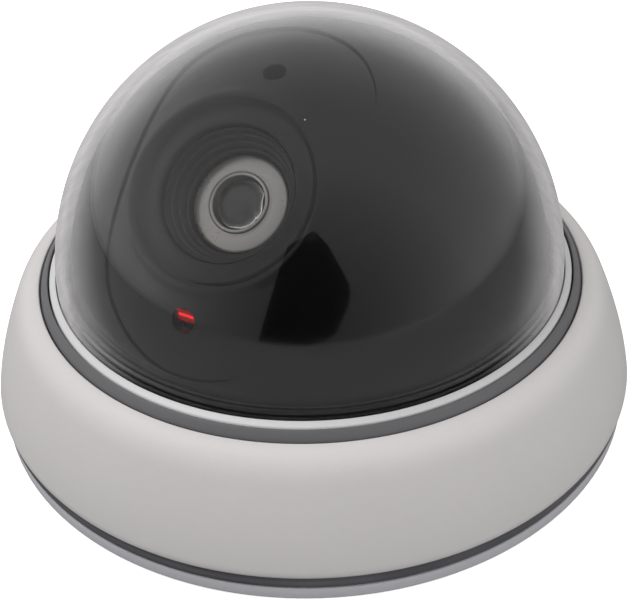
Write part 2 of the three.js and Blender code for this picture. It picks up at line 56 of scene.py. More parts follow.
def nodePoints(node):
    return [vertex.co.copy() for vertex in frame["nodes"][node].data.vertices]


def middleOf(node):
    low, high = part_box(node)
    return (low + high) / 2


def averageOf(points):
    return sum(points, Vector()) / len(points)


def facing(forward, sideways, at=origin):
    forward = forward.normalized()
    up = forward.cross(sideways).normalized()
    across = up.cross(forward).normalized()
    return Matrix.Translation(at) @ Matrix((across, up, forward)).transposed().to_4x4()


def seatOf(node, axis):    # a frame with +Z along the axis, standing on the node's low end
    points = nodePoints(node)
    centre = middleOf(node)
    reach = [(point - centre).dot(axis) for point in points]
    sideways = axis.orthogonal()
    length = max(reach) - min(reach)
    return facing(axis, sideways, centre + axis * min(reach)), length / mm


joints = {joint["name"]: joint for joint in frame["joints"]}
tiltCentre = Vector(joints["tilt"]["pos_m"])
tiltAxis = Vector(joints["tilt"]["axis"]).normalized()
lensAxis = (averageOf(nodePoints("reflector_ring")) - tiltCentre).normalized()
lensPlace = facing(lensAxis, tiltAxis, tiltCentre)    # +Z out through the lens, +X along the tilt axis
panPlace = facing(Vector((0, 0, 1)), tiltAxis)


# shading

class Wire:    # one output socket that can be used in sums
    def __init__(self, finish, socket):
        self.finish, self.socket = finish, socket

    def maths(self, operation, *values):
        return self.finish.node("ShaderNodeMath", {"operation": operation}, dict(enumerate(values)))["Value"]

    def __abs__(self):
        return self.maths("ABSOLUTE", self)

    def __add__(self, other):
        return self.maths("ADD", self, other)

    def __radd__(self, other):
        return self.maths("ADD", other, self)

    def __sub__(self, other):
        return self.maths("SUBTRACT", self, other)

    def __rsub__(self, other):
        return self.maths("SUBTRACT", other, self)

    def __mul__(self, other):
        return self.maths("MULTIPLY", self, other)

    def __rmul__(self, other):
        return self.maths("MULTIPLY", other, self)

    def __truediv__(self, other):
        return self.maths("DIVIDE", self, other)

    def __pow__(self, other):
        return self.maths("POWER", self, other)


class Outputs:
    def __init__(self, finish, made):
        self.finish, self.made = finish, made

    def __getitem__(self, key):
        return Wire(self.finish, pick(self.made.outputs, key))


def pick(sockets, key):
    if isinstance(key, int):
        return sockets[key]
    exact = [socket for socket in sockets if socket.identifier == key]
    return (exact or [socket for socket in sockets if socket.name == key])[0]


class Finish:    # one material and short names for what it is made of
    def __init__(self, name, tree=None):
        if tree is None:
            self.material = bpy.data.materials.new(name)
            self.material.use_nodes = True
            tree = self.material.node_tree
        self.tree = tree
        tree.nodes.clear()

    def node(self, kind, settings=None, sockets=None):
        made = self.tree.nodes.new(kind)
        for key, value in (settings or {}).items():
            if key == "stops":
                ramp = made.color_ramp.elements
                while len(ramp) < len(value):
                    ramp.new(0.5)
                for element, (position, colour) in zip(ramp, value):
                    element.position, element.color = position, colour
            else:
                setattr(made, key, value)
        for key, value in (sockets or {}).items():
            socket = pick(made.inputs, key)
            if isinstance(value, Wire):
                self.tree.links.new(value.socket, socket)
            else:
                socket.default_value = value[:3] if socket.type == "VECTOR" else value
        return Outputs(self, made)

    def place(self):
        return self.node("ShaderNodeTexCoord")["Object"]

    def turned(self, matrix, stretch=(1, 1, 1)):    # the piece's own place, seen from that frame
        back = matrix.inverted()
        moved = self.node("ShaderNodeMapping", {}, {
            "Vector": self.place(), "Location": back.to_translation(), "Rotation": back.to_euler()})["Vector"]
        if tuple(stretch) == (1, 1, 1):
            return moved
        return self.vector("MULTIPLY", moved, stretch)

    def vector(self, operation, first, second):
        return self.node("ShaderNodeVectorMath", {"operation": operation}, {0: first, 1: second})["Vector"]

    def scaled(self, colour, amount):
        made = self.node("ShaderNodeVectorMath", {"operation": "SCALE"}, {0: colour, "Scale": amount})
        return made["Vector"]

    def parts(self, vector):
        made = self.node("ShaderNodeSeparateXYZ", {}, {0: vector})
        return made["X"], made["Y"], made["Z"]

    def noise(self, point, scale, detail=2.0, rough=0.5, bend=0.0):
        return self.node("ShaderNodeTexNoise", {}, {
            "Vector": point, "Scale": scale, "Detail": detail, "Roughness": rough, "Distortion": bend})["Fac"]

    def ranged(self, value, low, high, toLow=0.0, toHigh=1.0):
        return self.node("ShaderNodeMapRange", {"clamp": True}, {
            "Value": value, "From Min": low, "From Max": high, "To Min": toLow, "To Max": toHigh})["Result"]

    def blend(self, factor, first, second):
        return self.node("ShaderNodeMix", {"data_type": "RGBA"}, {
            "Factor_Float": factor, "A_Color": first, "B_Color": second})["Result_Color"]

    def bump(self, height, depth, normal=None):
        sockets = {"Height": height, "Distance": depth, "Strength": 1.0}
        if normal is not None:
            sockets["Normal"] = normal
        return self.node("ShaderNodeBump", {}, sockets)["Normal"]

    def specks(self, point, scale, size, share):    # sparse round dots, 1 inside them
        made = self.node("ShaderNodeTexVoronoi", {}, {"Vector": point, "Scale": scale})
        chosen = self.ranged(self.parts(made["Color"])[0], 1 - share, 1 - share + 0.001)
        return self.ranged(made["Distance"], size, size * 0.6) * chosen

    def hairlines(self, point, stretch, scale, width):    # long thin marks, 1 inside them
        cloud = self.noise(self.vector("MULTIPLY", point, stretch), scale, 1.0)
        line = abs(cloud - 0.5)
        gate = self.ranged(self.noise(point, 90, 2.0), 0.56, 0.62)
        return self.ranged(line, width, 0.0) * gate

    def principled(self, sockets):
        return self.node("ShaderNodeBsdfPrincipled", {}, sockets)["BSDF"]

    def finished(self, shader):
        sockets = {"Surface": shader}
        self.node("ShaderNodeOutputMaterial", {}, sockets)
        return self.material


def tint(red, green, blue):    # a screen colour of 0 to 255, made linear
    return tuple((value / 255 / 12.92) if value <= 10 else ((value / 255 + 0.055) / 1.055) ** 2.4
                 for value in (red, green, blue)) + (1.0,)


def mouldedPlastic(name, look):    # satin plastic out of a finely eroded mould
    finish = Finish(name)
    point = finish.place()
    cloud = finish.noise(point, 38, 3.0)
    mottle = finish.noise(point, 420, 2.0, 0.6)
    grain = finish.noise(point, look["grainScale"], 2.0, 0.55)
    shade = 1 + (cloud - 0.5) * look["tone"] + (mottle - 0.5) * look["tone"] * 0.6
    base = finish.scaled(look["colour"], shade)
    dust = finish.specks(point, 150, 0.035, look["dust"])
    base = finish.blend(dust * 0.5, base, look["dustColour"])
    scuffs = finish.hairlines(finish.turned(Matrix.Rotation(0.7, 4, "Z")), (1, 14, 6), 60, 0.004)
    rough = look["rough"] + (cloud - 0.5) * 0.1 + (grain - 0.5) * 0.12 + scuffs * 0.08
    normal = finish.bump(grain + scuffs * -0.4, look["grainDepth"])
    return finish.finished(finish.principled({
        "Base Color": base, "Roughness": rough, "Normal": normal,
        "Specular IOR Level": look["specular"], "IOR": 1.5}))


plasticLooks = {
    "housingGrey": {"colour": tint(221, 217, 217), "rough": 0.42, "grainScale": 2600, "grainDepth": 0.000025,
                    "tone": 0.035, "dust": 0.05, "dustColour": tint(150, 146, 142), "specular": 0.45},
    "baseGrey": {"colour": tint(208, 207, 212), "rough": 0.4, "grainScale": 2400, "grainDepth": 0.00003,
                 "tone": 0.05, "dust": 0.05, "dustColour": tint(110, 108, 106), "specular": 0.45},
    "trimGrey": {"colour": tint(104, 104, 106), "rough": 0.38, "grainScale": 2400, "grainDepth": 0.00003,
                 "tone": 0.07, "dust": 0.08, "dustColour": tint(160, 158, 156), "specular": 0.5},
    "collarWhite": {"colour": tint(222, 222, 222), "rough": 0.36, "grainScale": 2200, "grainDepth": 0.00002,
                    "tone": 0.05, "dust": 0.08, "dustColour": tint(150, 140, 126), "specular": 0.5},
    "mattBlack": {"colour": tint(26, 26, 29), "rough": 0.5, "grainScale": 2000, "grainDepth": 0.00004,
                  "tone": 0.25, "dust": 0.15, "dustColour": tint(120, 118, 114), "specular": 0.5},
    "switchWhite": {"colour": tint(224, 222, 217), "rough": 0.35, "grainScale": 2600, "grainDepth": 0.00002,
                    "tone": 0.05, "dust": 0.05, "dustColour": tint(130, 124, 116), "specular": 0.5},
}


def sealRubber():
    finish = Finish("sealRubber")
    point = finish.place()
    bloom = finish.noise(point, 55, 4.0)
    grain = finish.noise(point, 1800, 3.0, 0.65)
    base = finish.blend(finish.ranged(bloom, 0.35, 0.75), tint(84, 84, 89), tint(101, 101, 105))
    return finish.finished(finish.principled({
        "Base Color": base, "Roughness": 0.62 + (grain - 0.5) * 0.2, "Specular IOR Level": 0.35,
        "Normal": finish.bump(grain, 0.00006)}))


def clearAcrylic():    # the outer dome: polished, with faint wipe marks and a few specks
    finish = Finish("clearAcrylic")
    point = finish.place()
    wipe = finish.noise(finish.vector("MULTIPLY", point, (1, 2.2, 0.7)), 28, 4.0, 0.6, 0.8)
    smear = finish.ranged(wipe, 0.5, 0.8)
    lines = finish.hairlines(finish.turned(Matrix.Rotation(0.9, 4, "Y")), (1, 9, 2), 40, 0.002)
    dust = finish.specks(point, 95, 0.016, 0.16)
    rough = 0.012 + smear * 0.03 + lines * 0.1
    swell = finish.noise(point, 18, 1.0)
    glass = finish.principled({
        "Base Color": (0.985, 0.99, 0.99, 1.0), "Roughness": rough, "IOR": 1.49, "Transmission Weight": 1.0,
        "Normal": finish.bump(swell, 0.00008)})
    speck = finish.principled({"Base Color": tint(222, 219, 220), "Roughness": 0.8})
    slant = finish.ranged(finish.node("ShaderNodeLayerWeight", {}, {"Blend": 0.5})["Facing"], 0.42, 0.78)
    streaks = finish.noise(finish.turned(Matrix.Rotation(0.6, 4, "X"), (1, 6, 1.5)), 55, 4.0, 0.65)
    haze = slant * slant * (0.42 + streaks * 0.62)    # the worn surface whitens where it is seen edge on
    cover = finish.ranged(haze + dust * 0.6, 0.0, 1.0)
    both = finish.node("ShaderNodeMixShader", {}, {0: cover, 1: glass, 2: speck})["Shader"]
    return finish.finished(both)


def glossBlack(name, turn):    # polished black shell: faint orange peel, wipe haze, hairlines and dust
    finish = Finish(name)
    point = finish.place()
    cloud = finish.noise(point, 24, 4.0, 0.55, 0.4)
    peel = finish.noise(point, 260, 2.0)
    lines = finish.hairlines(finish.turned(Matrix.Rotation(turn, 4, "X")), (1, 10, 3), 36, 0.0025)
    dust = finish.specks(point, 130, 0.02, 0.22)
    base = finish.blend(finish.ranged(cloud, 0.3, 0.8), tint(12, 12, 13), tint(20, 19, 19))
    base = finish.blend(dust * 0.25, base, tint(120, 116, 112))
    rough = 0.1 + finish.ranged(cloud, 0.35, 0.8) * 0.1 + lines * 0.12 + dust * 0.3
    normal = finish.bump(peel * 0.5 + lines * -0.5, 0.00003)
    return finish.finished(finish.principled({
        "Base Color": base, "Roughness": rough, "Specular IOR Level": 0.5, "IOR": 1.5, "Normal": normal}))


def funnelBlack():    # turned look: very fine rings about the lens axis
    finish = Finish("funnelBlack")
    x, y, z = finish.parts(finish.turned(lensPlace))
    radius = (x * x + y * y) ** 0.5
    rings = finish.noise(finish.node("ShaderNodeCombineXYZ", {}, {"X": radius, "Y": z * 0.4})["Vector"],
                         5200, 2.0)
    cloud = finish.noise(finish.place(), 120, 3.0)
    base = finish.blend(cloud, tint(32, 31, 32), tint(50, 48, 48))
    return finish.finished(finish.principled({
        "Base Color": base, "Roughness": 0.36 + (rings - 0.5) * 0.25 + (cloud - 0.5) * 0.1,
        "Specular IOR Level": 0.55, "Normal": finish.bump(rings, 0.00002)}))


def satinSilver():    # vacuum-plated plastic with a soft satin and a few pits
    finish = Finish("satinSilver")
    point = finish.turned(lensPlace)
    x, y, z = finish.parts(point)
    sweep = finish.noise(finish.vector("MULTIPLY", point, (1, 1, 0.2)), 95, 3.0)
    fine = finish.noise(point, 1500, 3.0)
    pits = finish.specks(point, 420, 0.06, 0.06)
    base = finish.blend(finish.ranged(sweep, 0.3, 0.7), tint(205, 200, 196), tint(222, 217, 213))
    base = finish.blend(pits, base, tint(60, 56, 52))
    return finish.finished(finish.principled({
        "Base Color": base, "Metallic": 0.7 - pits * 0.5,
        "Roughness": 0.32 + (sweep - 0.5) * 0.3 + (fine - 0.5) * 0.1,
        "Normal": finish.bump(fine, 0.000015)}))


def beadAcrylic():
    finish = Finish("beadAcrylic")
    flow = finish.noise(finish.turned(lensPlace), 210, 2.0, 0.5, 1.2)
    return finish.finished(finish.principled({
        "Base Color": (0.93, 0.93, 0.92, 1.0), "Roughness": 0.01 + finish.ranged(flow, 0.6, 0.9) * 0.05,
        "IOR": 1.49,
        "Transmission Weight": 1.0, "Normal": finish.bump(flow, 0.0002)}))


# middle line and half width of the painted highlight streak on the lamp body
paintedStreakLine = {"y": (lensPlace.inverted() @ averageOf(nodePoints("indicator_led"))).y, "half": 0.00028}


# painted highlight: a bright red glowing streak along the lamp's middle line stands in for its gloss
# highlight; the rest of the body glows faintly red
def ledEpoxy():
    finish = Finish("ledEpoxy")
    point = finish.place()
    cloud = finish.noise(point, 900, 2.0)
    x, y, z = finish.parts(finish.turned(lensPlace))
    side = abs(y - paintedStreakLine["y"])
    # the painted highlight streak, 1 along the lamp's middle line and fading out to either side
    paintedHighlight = 1 - finish.ranged(side + (cloud - 0.5) * 0.0002, paintedStreakLine["half"] * 0.5, paintedStreakLine["half"])
    base = finish.blend(cloud, (0.16, 0.004, 0.006, 1), (0.24, 0.008, 0.01, 1))
    # emission colour of the painted highlight: bright red on the streak, faint red elsewhere
    highlightGlow = finish.blend(paintedHighlight, (0.05, 0.0, 0.0, 1), (1.0, 0.02, 0.03, 1))
    return finish.finished(finish.principled({
        "Base Color": base, "Roughness": 0.08 + cloud * 0.06, "IOR": 1.5, "Transmission Weight": 0.35,
        "Emission Color": highlightGlow, "Emission Strength": 0.9}))


def platedMetal(name, look):    # zinc or nickel plating with drawn marks along one axis
    finish = Finish(name)
    point = finish.place()
    drawn = finish.noise(finish.vector("MULTIPLY", point, look["drawn"]), 900, 3.0)
    stain = finish.noise(point, 160, 4.0, 0.6)
    base = finish.blend(finish.ranged(stain, 0.4, 0.75), look["bright"], look["dull"])
    return finish.finished(finish.principled({
        "Base Color": base, "Metallic": 1.0, "Roughness": 0.26 + (drawn - 0.5) * 0.2 + stain * 0.14,
        "Normal": finish.bump(drawn, 0.00001)}))


def boardGreen():
    finish = Finish("boardGreen")
    point = finish.turned(lensPlace)
    x, y, z = finish.parts(point)
    weave = finish.node("ShaderNodeTexWave", {"wave_type": "BANDS", "bands_direction": "X"}, {
        "Vector": point, "Scale": 700, "Distortion": 0.4})["Fac"]
    copper = finish.node("ShaderNodeTexBrick", {"offset": 0.5}, {
        "Vector": point, "Scale": 260, "Mortar Size": 0.06, "Color1": (0, 0, 0, 1), "Color2": (0, 0, 0, 1),
        "Mortar": (1, 1, 1, 1)})["Color"]
    tracks = finish.parts(copper)[0] * finish.ranged(finish.noise(point, 120, 1.0), 0.45, 0.5)
    base = finish.blend(tracks, tint(26, 84, 48), tint(58, 122, 66))
    return finish.finished(finish.principled({
        "Base Color": base, "Roughness": 0.3 + weave * 0.08,
        "Normal": finish.bump(tracks + weave * 0.15, 0.00004)}))


def lacquer(name, look):    # coloured sleeves, lacquers and wire insulation
    finish = Finish(name)
    point = finish.place()
    cloud = finish.noise(point, 260, 3.0)
    fine = finish.noise(point, 1700, 2.0)
    base = finish.scaled(look["colour"], 0.92 + cloud * 0.16)
    return finish.finished(finish.principled({
        "Base Color": base, "Roughness": look["rough"] + (fine - 0.5) * 0.12,
        "Normal": finish.bump(fine, look["depth"])}))


def cellWrap():    # film sleeve with a paler band at the positive end, and bare metal ends
    finish = Finish("cellWrap")
    point = finish.place()
    x, y, z = finish.parts(point)
    along = abs(x)
    wear = finish.noise(point, 500, 3.0)
    band = finish.ranged(along, 0.0118, 0.0121) * finish.ranged(x * y, 0.0, 0.00001)
    base = finish.blend(band, tint(58, 60, 66), tint(176, 128, 62))
    ends = finish.ranged(along, 0.0247, 0.0249)
    return finish.finished(finish.principled({
        "Base Color": finish.blend(ends, base, tint(190, 190, 188)), "Metallic": ends * 0.9 + band * 0.3,
        "Roughness": 0.27 + (wear - 0.5) * 0.16, "Coat Weight": 0.3, "Normal": finish.bump(wear, 0.00001)}))


finishes = {name: mouldedPlastic(name, look) for name, look in plasticLooks.items()}
finishes.update({
    "sealRubber": sealRubber(), "clearAcrylic": clearAcrylic(),
    "linerBlack": glossBlack("linerBlack", 0.5), "carrierBlack": glossBlack("carrierBlack", 1.3),
    "funnelBlack": funnelBlack(), "satinSilver": satinSilver(), "beadAcrylic": beadAcrylic(),
    "ledEpoxy": ledEpoxy(), "boardGreen": boardGreen(), "cellWrap": cellWrap(),
    "zincSteel": platedMetal("zincSteel", {
        "drawn": (1, 1, 0.1), "bright": tint(206, 206, 208), "dull": tint(150, 150, 152)}),
    "nickelSpring": platedMetal("nickelSpring", {
        "drawn": (0.1, 1, 1), "bright": tint(214, 210, 202), "dull": tint(160, 154, 144)}),
    "resistorTan": lacquer("resistorTan", {"colour": tint(190, 160, 118), "rough": 0.4, "depth": 0.00002}),
    "capacitorSleeve": lacquer("capacitorSleeve",
                               {"colour": tint(34, 38, 58), "rough": 0.3, "depth": 0.00001}),
    "wireRed": lacquer("wireRed", {"colour": tint(168, 26, 26), "rough": 0.42, "depth": 0.00002}),
    "wireBlack": lacquer("wireBlack", {"colour": tint(26, 26, 27), "rough": 0.42, "depth": 0.00002}),
})
print("finishes made:", len(finishes))


# mesh helpers; outlines are in millimetres

def arc(radius, fromDegrees, toDegrees, steps, centre=(0.0, 0.0)):
    turn = [math.radians(fromDegrees + (toDegrees - fromDegrees) * i / steps) for i in range(steps + 1)]
    return [(max(centre[0] + radius * math.cos(t), 0.0) if abs(t - math.pi / 2) > 1e-9 else centre[0],
             centre[1] + radius * math.sin(t)) for t in turn]


def sweep(points, steps):    # a smooth run through four handles
    handles = [Vector((x, y, 0)) for x, y in points]
    return [(p.x, p.y) for p in interpolate_bezier(*handles, steps + 1)]


def spun(outline, steps=192, closed=True):
    shape = bmesh.new()
    corners = [shape.verts.new((r * mm, 0, z * mm)) for r, z in outline]
    following = corners[1:] + (corners[:1] if closed else [])
    edges = [shape.edges.new(pair) for pair in zip(corners, following)]
    bmesh.ops.spin(shape, geom=corners + edges, cent=(0, 0, 0), axis=(0, 0, 1), angle=fullTurn,
                   steps=steps, use_merge=True)
    bmesh.ops.remove_doubles(shape, verts=shape.verts, dist=1e-7)
    bmesh.ops.dissolve_degenerate(shape, edges=shape.edges, dist=1e-8)
    bmesh.ops.recalc_face_normals(shape, faces=shape.faces)
    return shape


def softened(shape, width, minDegrees=25, segments=3):
    sharp = [edge for edge in shape.edges
             if len(edge.link_faces) == 2 and edge.calc_face_angle() > math.radians(minDegrees)]
    bmesh.ops.bevel(shape, geom=sharp, offset=width * mm, offset_type="OFFSET", segments=segments,
                    profile=0.5,
                    affect="EDGES", material=-1, clamp_overlap=True)
    return shape


def slab(low, high, round=0.0, segments=2):
    shape = bmesh.new()
    bmesh.ops.create_cube(shape, size=1.0)
    size = [(b - a) * mm for a, b in zip(low, high)]
    bmesh.ops.scale(shape, vec=size, verts=shape.verts)
    bmesh.ops.translate(shape, vec=[(a + b) / 2 * mm for a, b in zip(low, high)], verts=shape.verts)
    if round:
        softened(shape, round, segments=segments)
    return shape


def post(radius, low, high, sides=40, at=(0, 0), topRadius=None):
    shape = bmesh.new()
    bmesh.ops.create_cone(shape, cap_ends=True, cap_tris=False, segments=sides, radius1=radius * mm,
                          radius2=(radius if topRadius is None else topRadius) * mm, depth=(high - low) * mm)
    bmesh.ops.translate(shape, vec=(at[0] * mm, at[1] * mm, (low + high) / 2 * mm), verts=shape.verts)
    return shape


def stretched(shape, half):    # pulls a round post into one with a slot's outline along Y
    for vertex in shape.verts:
        vertex.co.y += half * mm if vertex.co.y > 1e-7 else -half * mm
    return shape


def placed(shape, matrix):
    bmesh.ops.transform(shape, matrix=matrix, verts=shape.verts)
    return shape


def hullOf(*shapes):    # the tight skin round several shapes
    whole = merged(*shapes)
    bmesh.ops.convex_hull(whole, input=whole.verts)
    loose = [vertex for vertex in whole.verts if not vertex.link_faces]
    bmesh.ops.delete(whole, geom=loose, context="VERTS")
    inner = [face for face in whole.faces if not all(edge.is_manifold for edge in face.edges)]
    bmesh.ops.delete(whole, geom=inner, context="FACES_ONLY")
    return whole


def merged(*shapes):
    whole = bmesh.new()
    for shape in shapes:
        carrier = bpy.data.meshes.new("carrier")
        shape.to_mesh(carrier)
        whole.from_mesh(carrier)
        bpy.data.meshes.remove(carrier)
        shape.free()
    return whole


def temporary(shape):
    mesh = bpy.data.meshes.new("temporary")
    shape.to_mesh(mesh)
    shape.free()
    thing = bpy.data.objects.new("temporary", mesh)
    bpy.context.scene.collection.objects.link(thing)
    return thing


def combined(shape, tools, operation):
    host = temporary(shape)
    helpers = [temporary(tool) for tool in tools]
    for helper in helpers:
        change = host.modifiers.new("change", "BOOLEAN")
        change.operation, change.solver, change.object = operation, "EXACT", helper
    bpy.context.view_layer.update()
    result = bmesh.new()
    result.from_object(host, bpy.context.evaluated_depsgraph_get())
    for thing in [host] + helpers:
        mesh = thing.data
        bpy.data.objects.remove(thing)
        bpy.data.meshes.remove(mesh)
    bmesh.ops.remove_doubles(result, verts=result.verts, dist=2e-7)
    bmesh.ops.dissolve_degenerate(result, edges=result.edges, dist=2e-7)
    return result


def cutFrom(shape, *tools):
    return combined(shape, tools, "DIFFERENCE")


def joinedTo(shape, *tools):
    return combined(shape, tools, "UNION")


def around(count, first, make):
    return [make(math.radians(first + 360 * i / count)) for i in range(count)]


def aroundZ(shape, angle):
    return placed(shape, Matrix.Rotation(angle, 4, "Z"))


def piece(name, shape, finish, body, nodes, place=None, bevel=0.0, keepSharp=32):
    if place is not None:
        placed(shape, place)
    mesh = bpy.data.meshes.new(name)
    shape.to_mesh(mesh)
    shape.free()
    thing = bpy.data.objects.new(name, mesh)
    bpy.context.scene.collection.objects.link(thing)
    mesh.materials.append(finishes[finish])
    mesh.polygons.foreach_set("use_smooth", [True] * len(mesh.polygons))
    mesh.set_sharp_from_angle(angle=math.radians(keepSharp))
    if bevel:
        addBevel(thing, bevel)
    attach(thing, body)
    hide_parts(*nodes)
    return thing


def addBevel(thing, width, limit=38):
    rounding = thing.modifiers.new("rounding", "BEVEL")
    rounding.width, rounding.segments, rounding.limit_method = width * mm, 2, "ANGLE"
    rounding.angle_limit, rounding.harden_normals = math.radians(limit), True
    rounding.use_clamp_overlap = True


def sphereNormals(thing, centre, radii):    # exact shading on the parts of the skin that lie on a sphere
    mesh = thing.data
    wanted = [Vector((0, 0, 0))] * len(mesh.loops)
    for face in mesh.polygons:
        spots = [mesh.vertices[mesh.loops[loop].vertex_index].co - centre for loop in face.loop_indices]
        if any(all(abs(spot.length - radius * mm) < 2e-5 for spot in spots) for radius in radii):
            side = 1 if face.normal.dot(face.center - centre) > 0 else -1
            for loop, spot in zip(face.loop_indices, spots):
                wanted[loop] = spot.normalized() * side
    mesh.normals_split_custom_set(wanted)


# base body

base = {
    "outline": [(0, 0), (59.7, 0), (60.9, 1.3), (60.9, 3.6), (58.1, 3.6), (58.1, 9.5), (56.6, 9.5),
                (56.6, 3.0),
                (49.0, 3.0), (49.0, 6.4), (47.4, 6.4), (47.4, 3.0), (41.0, 3.0), (41.0, 3.4), (39.0, 3.4),
                (39.0, 3.0), (0, 3.0)],
    "clipRadius": 50.9, "clipFirst": 30, "slotRadius": 52.4, "slotFirst": 90, "slotWidth": 4.0,
    "slotLength": 8.0, "slotHead": 3.4,
    "tabHalf": 6, "tabSlit": 1.2, "trayScrew": 29.6, "round": 0.18, "boss": 2.8, "tapped": 1.4,
    "ribs": 24, "ribFirst": 7.5, "ribFrom": 48.6, "ribTo": 56.9, "ribHalf": 0.45, "ribTop": 4.6,
}


def basePlate():
    shape = softened(spun(base["outline"], closed=False), base["round"], segments=2)
    ribLow, ribHigh = (base["ribFrom"], -base["ribHalf"], 2.8), (base["ribTo"], base["ribHalf"],
                                                                 base["ribTop"])
    ribs = around(base["ribs"], base["ribFirst"], lambda a: aroundZ(slab(ribLow, ribHigh, 0.12, 1), a))
    bosses = around(3, base["clipFirst"],
                    lambda a: aroundZ(post(base["boss"], 2.6, 6.4, at=(base["clipRadius"], 0)), a))
    shape = joinedTo(shape, merged(*ribs), merged(*bosses))
    half = (base["slotLength"] - base["slotWidth"]) / 2
    outwards = Matrix.Translation((base["slotRadius"] * mm, 0, 0))
    slots = around(3, base["slotFirst"], lambda a: aroundZ(
        placed(stretched(post(base["slotWidth"] / 2, -1, 4), half), outwards), a))
    heads = around(3, base["slotFirst"], lambda a: aroundZ(
        placed(stretched(post(base["slotHead"], 2.0, 5), half), outwards), a))
    slits = [aroundZ(slab((55, -base["tabSlit"] / 2, 4.2), (59, base["tabSlit"] / 2, 11)),
                     math.radians(s * base["tabHalf"]) + a)
             for s in (-1, 1) for a in (0, fullTurn / 3, 2 * fullTurn / 3)]
    holes = [post(base["tapped"], 1.5, 9, 24,
                  at=(base["clipRadius"] * math.cos(a), base["clipRadius"] * math.sin(a)))
             for a in around(3, base["clipFirst"], lambda angle: angle)]
    holes += [post(base["tapped"], 1.0, 4, 24, at=(side * base["trayScrew"], 0)) for side in (-1, 1)]
    windows = [slab((-25.4, -11.3, 1), (25.4, 11.3, 4)), slab((-27.5, -13.0, -1), (27.5, 14.7, 2.4)),
               slab((-3.4, -29.3, -1), (3.4, -26.7, 4))]
    socket = placed(post(0.7, -29.2, 29.2, 16),
                    facing(Vector((1, 0, 0)), Vector((0, 1, 0)), Vector((0, 13.2, 1.2)) * mm))
    shape = cutFrom(shape, merged(*slots), merged(*heads), merged(*slits), merged(*holes), *windows, socket)
    return piece("base_plate_body", shape, "baseGrey", "base", ["base_plate"], keepSharp=30)


def gasketRing():
    bulge = arc(0.9, -60, 60, 6, (60.3, 4.95))
    outline = [(58.4, 3.85), (60.85, 3.85)] + bulge + [(60.85, 6.05), (58.4, 6.05)]
    return piece("base_seal", softened(spun(outline), 0.12, 40, 2), "sealRubber", "base", ["lower_gasket"])


basePlate()
gasketRing()


# cover body

housing = {
    "lowerEdge": [(59.4, 6.25), (60.8, 6.25), (61.5, 6.3), (61.62, 7.3)],
    "side": [(61.62, 7.3), (60.7, 12.6), (58.7, 18.3), (57.0, 22.4)],
    "shoulder": [(57.0, 22.4), (56.0, 25.0), (54.6, 27.5), (51.6, 27.95)],
    "inside": [(51.4, 27.8), (51.4, 25.7), (49.6, 25.7), (49.6, 24.3), (53.9, 24.3), (55.3, 20.8),
               (57.7, 13.8),
               (58.7, 10.3), (59.2, 6.4)],
}


def housingShell():
    outline = sweep(housing["lowerEdge"], 6)[:-1] + sweep(housing["side"],
                                                          18)[:-1] + sweep(housing["shoulder"], 12)
    shape = softened(spun(outline + housing["inside"]), 0.12, 45, 2)
    return piece("housing_shell", shape, "housingGrey", "cover", ["housing"])


trim = {"outline": [(49.62, 26.0), (51.1, 26.0), (51.12, 27.75), (50.85, 28.35), (50.0, 29.3),
                    (49.72, 29.42), (49.62, 29.2)]}
collar = {"outline": [(48.05, 24.3), (49.35, 24.3), (49.35, 29.1), (49.2, 29.4), (48.25, 29.85),
                      (48.05, 29.85)]}
dome = {"centre": 29.0, "outer": 47.9, "inner": 46.2, "flange": 52.2, "flangeLow": 22.0, "flangeHigh": 24.0,
        "steps": 56}


def clearDome():
    height = (0.0, dome["centre"])
    outline = [(dome["inner"], dome["flangeLow"])] + arc(dome["inner"], 0, 90, dome["steps"], height)
    outline += arc(dome["outer"], 90, 0, dome["steps"], height)
    outline += [(dome["outer"], dome["flangeHigh"]), (dome["flange"], dome["flangeHigh"]),
                (dome["flange"], dome["flangeLow"])]
    thing = piece("clear_dome_shell", softened(spun(outline, 224), 0.2, 45, 2), "clearAcrylic", "cover",
                  ["clear_dome"])
    sphereNormals(thing, Vector((0, 0, dome["centre"] * mm)), (dome["outer"], dome["inner"]))
    return thing


housingShell()
piece("trim_ring", softened(spun(trim["outline"]), 0.1, 20, 2), "trimGrey", "cover", ["upper_trim_ring"])
piece("collar_ring", softened(spun(collar["outline"]), 0.08, 20, 2), "collarWhite", "cover",
      ["dome_collar"])
clearDome()
print("cover made")


# pan unit, in the pan frame: the lens looks towards -Y

liner = {"outer": 45.0, "inner": 44.74, "bottom": 6.2, "slotHalf": 18.6, "slotLow": 29.3, "slotHigh": 71.3,
         "steps": 56}


def elevated(degrees):    # +Z of the returned frame points out of the dome's centre at that elevation
    return Matrix.Translation(tiltCentre) @ Matrix.Rotation(math.radians(90 - degrees), 4, "X")


def slotCutter():
    ends = [placed(post(liner["slotHalf"], 15, 60, 96), elevated(e)) for e in (liner["slotLow"],
                                                                               liner["slotHigh"])]
    fan = bmesh.new()
    centre = fan.verts.new((0, 0, 0))
    first = fan.verts.new((0, 0, 60 * mm))
    edge = fan.edges.new((centre, first))
    turn = math.radians(liner["slotHigh"] - liner["slotLow"])
    bmesh.ops.spin(fan, geom=[centre, first, edge], cent=(0, 0, 0), axis=(1, 0, 0), angle=turn, steps=12)
    bmesh.ops.remove_doubles(fan, verts=fan.verts, dist=1e-7)
    bmesh.ops.translate(fan, vec=(-liner["slotHalf"] * mm, 0, 0), verts=fan.verts)
    grown = bmesh.ops.extrude_face_region(fan, geom=fan.faces[:])
    moved = [item for item in grown["geom"] if isinstance(item, bmesh.types.BMVert)]
    bmesh.ops.translate(fan, vec=(2 * liner["slotHalf"] * mm, 0, 0), verts=moved)
    bmesh.ops.recalc_face_normals(fan, faces=fan.faces)
    return ends, placed(fan, elevated(liner["slotHigh"]))


